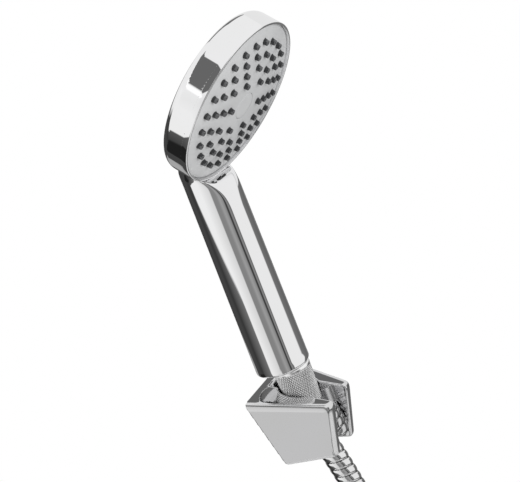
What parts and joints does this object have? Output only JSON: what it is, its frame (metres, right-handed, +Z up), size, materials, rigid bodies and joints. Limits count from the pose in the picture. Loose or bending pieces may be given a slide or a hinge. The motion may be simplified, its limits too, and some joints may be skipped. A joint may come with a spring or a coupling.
{
  "type": "handheld shower head",
  "caption": "Handheld shower head with a round domed spray face and a round handle, in a tapered wall bracket, with a conical hose nut and a coiled spiral metal hose.",
  "frame": {"origin": "centre of the bracket's flat wall face, on the axis of its screw hole", "axes": "+Y into the wall, +Z up, +X along the wall; the handset leans out towards -Y"},
  "size_m": [0.201, 0.1245, 0.5722],
  "materials": {
    "bracket_chrome": "polished",
    "nut_chrome": "knurled",
    "shell_chrome": "polished",
    "brass": "machined",
    "steel": "satin",
    "regulator_plastic": "moulded",
    "inner_plastic": "moulded",
    "rubber": "matte",
    "nozzle_silicone": "matte",
    "face_plastic": "satin",
    "hose_steel": "polished",
    "tie_fabric": "woven"
  },
  "bodies": {
    "bracket": {"bracket_body": "bracket_chrome"},
    "hose": {"hose_washer": "rubber", "hose_nipple": "brass", "hose_ferrule": "steel", "hose_drop": "hose_steel", "hose_coil": "hose_steel", "coil_tie": "tie_fabric", "hose_tail": "hose_steel", "tail_ferrule": "steel", "tail_nipple": "brass", "supply_washer": "rubber"},
    "handset": {"cone_nut": "nut_chrome", "body_shell": "shell_chrome", "inlet_adapter": "brass", "inlet_filter": "steel", "flow_regulator": "regulator_plastic", "water_tube": "inner_plastic", "tube_seal": "rubber", "chamber_plate": "inner_plastic", "chamber_seal": "rubber", "nozzle_mat": "nozzle_silicone", "face_plate": "face_plastic", "face_screw": "steel", "centre_cap": "face_plastic"},
    "supply_end": {"supply_nut": "nut_chrome"}
  },
  "joints": [
    {"name": "lift_out", "type": "slide", "parent": "bracket", "child": "hose", "axis": [0, -0.1374, 0.9905], "range_m": [0, 0.045]},
    {"name": "handset_turn", "type": "hinge", "parent": "hose", "child": "handset", "pos_m": [0, -0.0234, 0.0295], "axis": [0, -0.1374, 0.9905], "continuous": true},
    {"name": "supply_nut_turn", "type": "hinge", "parent": "hose", "child": "supply_end", "pos_m": [0.045, -0.051, -0.33], "axis": [0, 0, 1], "continuous": true}
  ]
}
